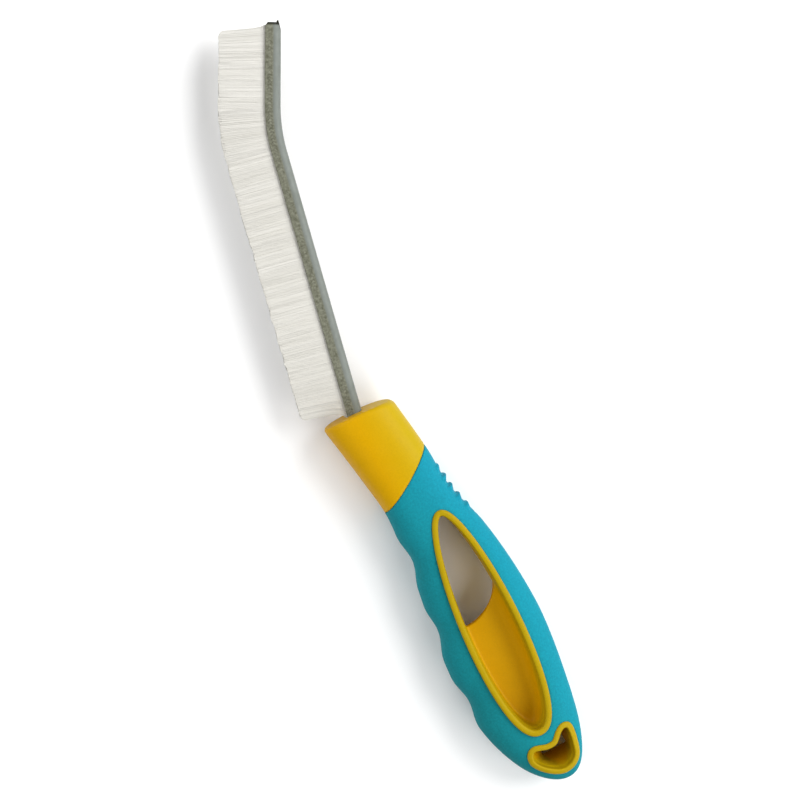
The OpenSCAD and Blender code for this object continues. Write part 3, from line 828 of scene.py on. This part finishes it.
def fading(amount, length, way):
    return amount * math.exp(-way / length)


def strand(root, v, sway=0.0, bow=0.0):
    """Length along the strip where a filament with this root passes the height v."""
    first, last = root - FIRST_ROOT, LAST_ROOT - root
    free = max(v - LIP, 0) / BRISTLE_LEN
    lean = fading(*FIRST_LEAN, first) - fading(*LAST_LEAN, last)
    splay = fading(*LAST_SPLAY, max(last, 0)) - fading(*FIRST_SPLAY, max(first, 0))
    u = root + lean * (v - LIP) + sway * free**1.5 + bow * math.sin(math.pi * free)
    return u + splay * math.exp(-max(v - LIP, 0) / SPLAY_UP)


def trimmed(root):
    """Length that the trimming leaves of a filament, shorter at both ends of the row."""
    first = max(0, 1 - (root - FIRST_ROOT) / FIRST_TRIM[1])
    last = max(0, 1 - (LAST_ROOT - root) / LAST_TRIM[1])
    return BRISTLE_LEN - TRIM - FIRST_TRIM[0] * first**2 - LAST_TRIM[0] * last**2


def flare(v):
    """How much wider the fill is at height v than at the lips."""
    return 1 + FLARE * max(v - LIP, 0) / BRISTLE_LEN


def add_mass(verts, faces, shades):
    """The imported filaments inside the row, as one closed band just under the outer ones."""
    roots = np.arange(FIRST_ROOT + MASS_BACK, LAST_ROOT - MASS_BACK, MASS_STEP)
    n = 2 * len(LEVELS)
    base = len(verts)
    for root in roots:
        for side, levels in ((1, LEVELS), (-1, LEVELS[::-1])):
            for level in levels:
                v = min(level, LIP + trimmed(root) - MASS_UNDER)
                p, heading = path(strand(root, v))
                verts.append((*(p + v * turned((0, 1), heading)), side * (FILL_HALF - MASS_IN) * flare(v)))
    for k in range(len(roots) - 1):
        a = base + k * n
        faces += [(a + n + i, a + n + (i + 1) % n, a + (i + 1) % n, a + i) for i in range(n)]
    end = base + (len(roots) - 1) * n
    faces += [tuple(range(base, base + n)), tuple(range(end, end + n))[::-1]]
    shades += [SHADE] * (n * len(roots))


def build_filaments():
    rng = np.random.default_rng(11)
    waves_at = np.arange(-5, STRIP_LEN + 10, CLUMP_PITCH)
    clump = rng.normal(0, 1, len(waves_at))
    edge = rng.normal(0, 1, len(waves_at))
    tone = rng.normal(0, 1, len(waves_at))
    verts, faces, shades = [], [], []
    add_mass(verts, faces, shades)
    normals, soft = [(0, 0, 0)] * len(verts), [False] * len(faces)
    for row in range(ROWS):
        across = (row / (ROWS - 1) - 0.5) * 2
        for root in np.arange(FIRST_ROOT + (row % 2) * SPACING / 2, LAST_ROOT, SPACING):
            root = root + rng.normal(0, ROOT_SPREAD)
            sway = CLUMP_SWAY * np.interp(root, waves_at, clump) + rng.normal(0, SWAY_SPREAD)
            bow, drift = rng.normal(0, BOW_SPREAD), rng.normal(0, DRIFT_SPREAD)
            turn = rng.uniform(0, 2 * math.pi)
            top = LIP + trimmed(root) + CLUMP_TRIM * np.interp(root, waves_at, edge)
            top = top + rng.normal(0, TRIM_SPREAD)
            # The rise towards the tip is painted light; the clumps and each filament differ in shade at
            # random
            shade = SHADE + TIP_LIGHT_RISE * root / STRIP_LEN + CLUMP_SHADE * np.interp(root, waves_at, tone)
            shade = shade + rng.normal(0, SHADE_SPREAD)
            # Inside the mass only the free ends show
            at_end = root < FIRST_ROOT + FULL_ENDS or root > LAST_ROOT - FULL_ENDS
            shown = abs(across) > OUTER_ROWS or at_end
            levels = LEVELS if shown else END_LEVELS
            # Packed filaments catch the light as one soft surface, so their normals lean to the fill's own
            lean = NORMAL_LEAN * np.sign(across) if shown else 0
            base = len(verts)
            for level in levels:
                v = min(level, top)
                p, heading = path(strand(root, v, sway, bow))
                along = RADIUS * turned((1, 0), heading)
                x, y = p + v * turned((0, 1), heading)
                z = across * FILL_HALF * flare(v) + drift * (v - LIP) / BRISTLE_LEN
                for j in range(SIDES):
                    a = turn + 2 * math.pi * j / SIDES
                    c, w = math.cos(a), math.sin(a)
                    verts.append((x + c * along[0], y + c * along[1], z + RADIUS * w))
                    normals.append((c * along[0] / RADIUS, c * along[1] / RADIUS, w + lean))
            for k in range(len(levels) - 1):
                a = base + k * SIDES
                sides = [(a + j, a + (j + 1) % SIDES) for j in range(SIDES)]
                faces += [(i + SIDES, after + SIDES, after, i) for i, after in sides]
            end = base + (len(levels) - 1) * SIDES
            faces += [tuple(range(base, base + SIDES)), tuple(range(end, end + SIDES))[::-1]]
            soft += [True] * (SIDES * (len(levels) - 1)) + [False, False]
            shades += [min(max(shade, 0), 1)] * (len(levels) * SIDES)
    piece = add_mesh("bristle_filaments", verts, faces, nylon(), "bristle_fill")
    add_mark(piece, "shade", shades)
    piece.data.polygons.foreach_set("use_smooth", soft)
    # Flat faces keep their own normals, which a zero normal leaves them
    flat = (0, 0, 0)
    corners = np.array([normals[i] if bent else flat for face, bent in zip(faces, soft) for i in face])
    length = np.linalg.norm(corners, axis=1, keepdims=True)
    piece.data.normals_split_custom_set((corners / np.maximum(length, 1e-6)).tolist())


# Pieces

CELL = 0.45
# The sleeve's cells are a little larger, and those around the thumb ribs are fine
SLEEVE_CELL, FINE_CELL = CELL + 0.05, 0.28
# Box in which the surfaces are looked for, where the sleeve's box ends, and the ribs' part of it
BOX_X, BOX_Y, BOX_Z = (-139.4, 2.0), (-24.2, 17.0), (-10.6, 10.6)
SLEEVE_TO, RIBS_X, RIBS_Y = -14.0, (-46, -22), (-18.6, -12.6)


def steps(span, cell, fine=None):
    """Grid places over a span, closer together in its fine part."""
    places = [span[0]]
    while places[-1] < span[1]:
        near = fine and fine[0] < places[-1] < fine[1]
        places.append(places[-1] + (FINE_CELL if near else cell))
    return np.array(places)


def build_core():
    verts, quads = surface(core_field, steps(BOX_X, CELL), steps(BOX_Y, CELL), steps(BOX_Z, CELL))
    piece = add_mesh(
        "handle_core_moulding", verts, quads.tolist(), yellow_plastic(), "handle_core"
    )
    # The tone mark paints light and shade into the yellow moulding
    add_mark(piece, "tone", yellow_light_and_shade(verts[:, 0], verts[:, 1]))


def build_sleeve():
    xs = steps((BOX_X[0], SLEEVE_TO), SLEEVE_CELL, RIBS_X)
    ys = steps(BOX_Y, SLEEVE_CELL, RIBS_Y)
    verts, quads = surface(sleeve_field, xs, ys, steps(BOX_Z, SLEEVE_CELL))
    piece = add_mesh(
        "grip_sleeve_skin", verts, quads.tolist(), teal_rubber(), "grip_sleeve"
    )
    # The tone mark paints light on the sleeve's lit thumb side
    add_mark(piece, "tone", sleeve_light_and_tone(verts[:, 0], verts[:, 1]))


build_core()
build_sleeve()
build_strip()
build_filaments()
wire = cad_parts["core_wire"]
wire.data.materials.clear()
wire.data.materials.append(wire_steel())


# Floor, light and camera

# The floor's radius and height in metres, and its number of sides
FLOOR_R, FLOOR_Z, FLOOR_SIDES = 0.9, -0.0002, 64
# Distance of the lights from the brush, in metres
LIGHT_FAR = 1.5
# Strength of the white world as a light
AIR_LIGHT = 0.12
# Name, direction (picture's right, its up, floor's normal), size in metres and power in watts of each light
LIGHTS = [
    ("key", (0.85, 0.5, 0.75), 1.3, 23.5),
    ("low_key", (0.75, -0.55, 0.75), 1.3, 13.5),
    ("fill", (-1.0, 0.0, 0.8), 1.5, 11.0),
    ("high_fill", (-0.6, 0.75, 0.8), 1.5, 8.0),
]
# The camera and the point it looks at, in the handle's frame, and how far the picture is turned from the row
CAMERA = np.array([63.80, 6.92, 596.02])
AIM = np.array([-2.20, -13.08, 0.0])
PHOTO_TURN = math.radians(28.0)
# Picture width and focal length in pixels, sensor width in millimetres
PICTURE_W, FOCAL, SENSOR_W = 800.0, 1860.0, 36.0


def row_point(p):
    return Vector((p + OFFSET) * MM)


def add_floor():
    mesh = bpy.data.meshes.new("floor")
    turns = [2 * math.pi * i / FLOOR_SIDES for i in range(FLOOR_SIDES)]
    rim = [(FLOOR_R * math.cos(a), FLOOR_R * math.sin(a), FLOOR_Z) for a in turns]
    mesh.from_pydata(rim, [], [tuple(range(FLOOR_SIDES))])
    look = Look("pale_floor", 0.9, Specular_IOR_Level=0.1)
    look.finish(look.ramp(look.noise(3.0), (0.3, grey(0.93)), (0.7, grey(0.95))))
    mesh.materials.append(look.material)
    floor = bpy.data.objects.new("floor", mesh)
    bpy.context.scene.collection.objects.link(floor)


def add_camera():
    data = bpy.data.cameras.new("camera")
    data.sensor_width = SENSOR_W
    data.lens = FOCAL / PICTURE_W * SENSOR_W
    data.clip_start, data.clip_end = 0.01, 20.0
    camera = bpy.data.objects.new("camera", data)
    ahead = row_point(AIM) - row_point(CAMERA)
    ahead.normalize()
    up = Vector((math.cos(PHOTO_TURN), -math.sin(PHOTO_TURN), 0))
    right = ahead.cross(up).normalized()
    up = right.cross(ahead)
    turn = Matrix((right, up, -ahead)).transposed().to_4x4()
    camera.matrix_world = Matrix.Translation(row_point(CAMERA)) @ turn
    bpy.context.scene.collection.objects.link(camera)
    bpy.context.scene.camera = camera


def add_world():
    """Air that is white to the camera and dim as a light."""
    world = bpy.data.worlds.new("studio")
    world.use_nodes = True
    nodes, links = world.node_tree.nodes, world.node_tree.links
    background = nodes["Background"]
    background.inputs["Color"].default_value = (1, 1, 1, 1)
    strength = nodes.new("ShaderNodeMath")
    strength.operation = "MAXIMUM"
    strength.inputs[1].default_value = AIR_LIGHT
    links.new(nodes.new("ShaderNodeLightPath").outputs["Is Camera Ray"], strength.inputs[0])
    links.new(strength.outputs[0], background.inputs["Strength"])
    bpy.context.scene.world = world


def photo_direction(right, up, high):
    """A direction in the row frame, given along the picture's right, its up and the floor's normal."""
    c, s = math.cos(PHOTO_TURN), math.sin(PHOTO_TURN)
    return Vector((c * up - s * right, -s * up - c * right, high))


def add_light(name, direction, size, power):
    """A round soft light at a distance from the brush, facing it."""
    light = bpy.data.lights.new(name, "AREA")
    light.shape = "DISK"
    light.size = size
    light.energy = power
    lamp = bpy.data.objects.new(name, light)
    lamp.location = direction.normalized() * LIGHT_FAR
    lamp.rotation_euler = (-direction).to_track_quat("-Z", "Y").to_euler()
    bpy.context.scene.collection.objects.link(lamp)


add_floor()
add_camera()
add_world()
for name, towards, size, power in LIGHTS:
    add_light(name, photo_direction(*towards), size, power)
bpy.context.scene.view_settings.view_transform = "Standard"
